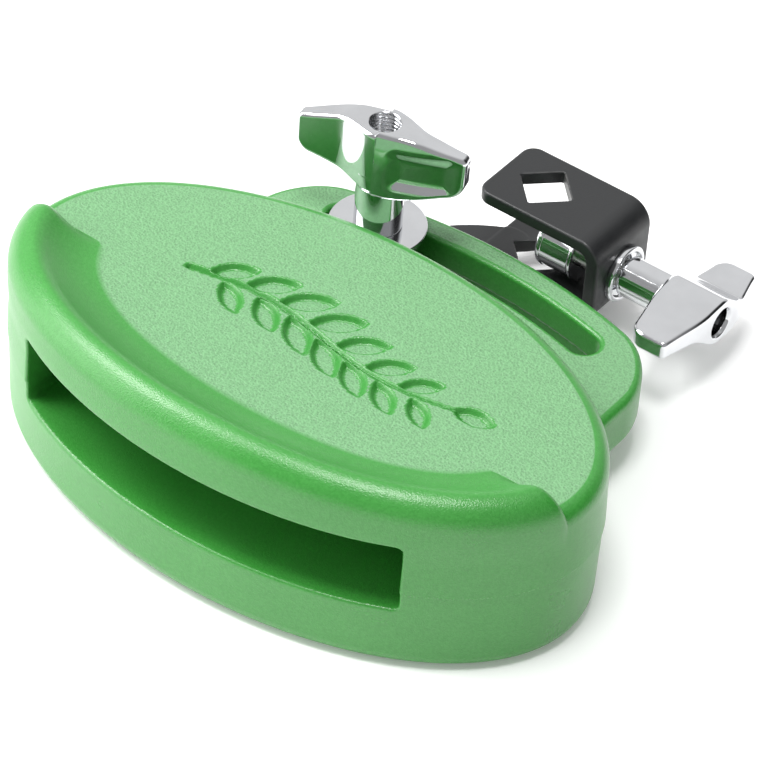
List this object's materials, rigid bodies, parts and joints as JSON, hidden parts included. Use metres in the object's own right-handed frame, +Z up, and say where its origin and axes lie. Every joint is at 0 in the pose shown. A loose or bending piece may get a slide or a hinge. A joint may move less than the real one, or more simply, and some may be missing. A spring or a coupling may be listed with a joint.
{
  "type": "percussion block",
  "caption": "Oval moulded percussion block with a front sound slot, raised striking ridge and a steel rod clamp on a curved rear slot.",
  "frame": {"origin": "centre of the block's flat base", "axes": "+X along the block's long axis, +Y towards the rear mounting lobe and clamp, +Z up out of the base"},
  "size_m": [0.1756, 0.181, 0.061],
  "materials": {
    "green_plastic": "satin moulded plastic, fine pebble grain on the flat top",
    "black_steel": "satin black coating",
    "chrome": "polished",
    "zinc_steel": "bright zinc plate"
  },
  "bodies": {
    "block": {"block_body": "green_plastic"},
    "slot_slider": {"slot_washer": "chrome"},
    "bracket": {"clamp_bracket": "black_steel", "slot_bolt": "zinc_steel", "clamp_bushing": "chrome"},
    "slot_nut": {"slot_wing_nut": "chrome"},
    "pad": {"pressure_pad": "chrome"},
    "clamp_screw": {"clamp_wing": "chrome", "clamp_stud": "zinc_steel"}
  },
  "joints": [
    {"name": "slot_travel", "type": "hinge", "parent": "block", "child": "slot_slider", "pos_m": [0, -0.083, 0.025], "axis": [0, 0, 1], "range_deg": [-25.2, 3.7]},
    {"name": "bracket_swivel", "type": "hinge", "parent": "slot_slider", "child": "bracket", "pos_m": [-0.0295, 0.07161, 0.0102], "axis": [0, 0, 1], "range_deg": [0, 130]},
    {"name": "slot_nut_turn", "type": "hinge", "parent": "slot_slider", "child": "slot_nut", "pos_m": [-0.0295, 0.07161, 0.0265], "axis": [0, 0, 1], "continuous": true},
    {"name": "pad_slide", "type": "slide", "parent": "bracket", "child": "pad", "axis": [1, 0, 0], "range_m": [0, 0.0056]},
    {"name": "clamp_screw_turn", "type": "hinge", "parent": "pad", "child": "clamp_screw", "pos_m": [0.0156, 0.106, 0.0186], "axis": [1, 0, 0], "range_deg": [0, 1584]}
  ],
  "couplings": [
    {"joint": "pad_slide", "follows": "clamp_screw_turn", "m_per_rad": 0.00019894}
  ]
}
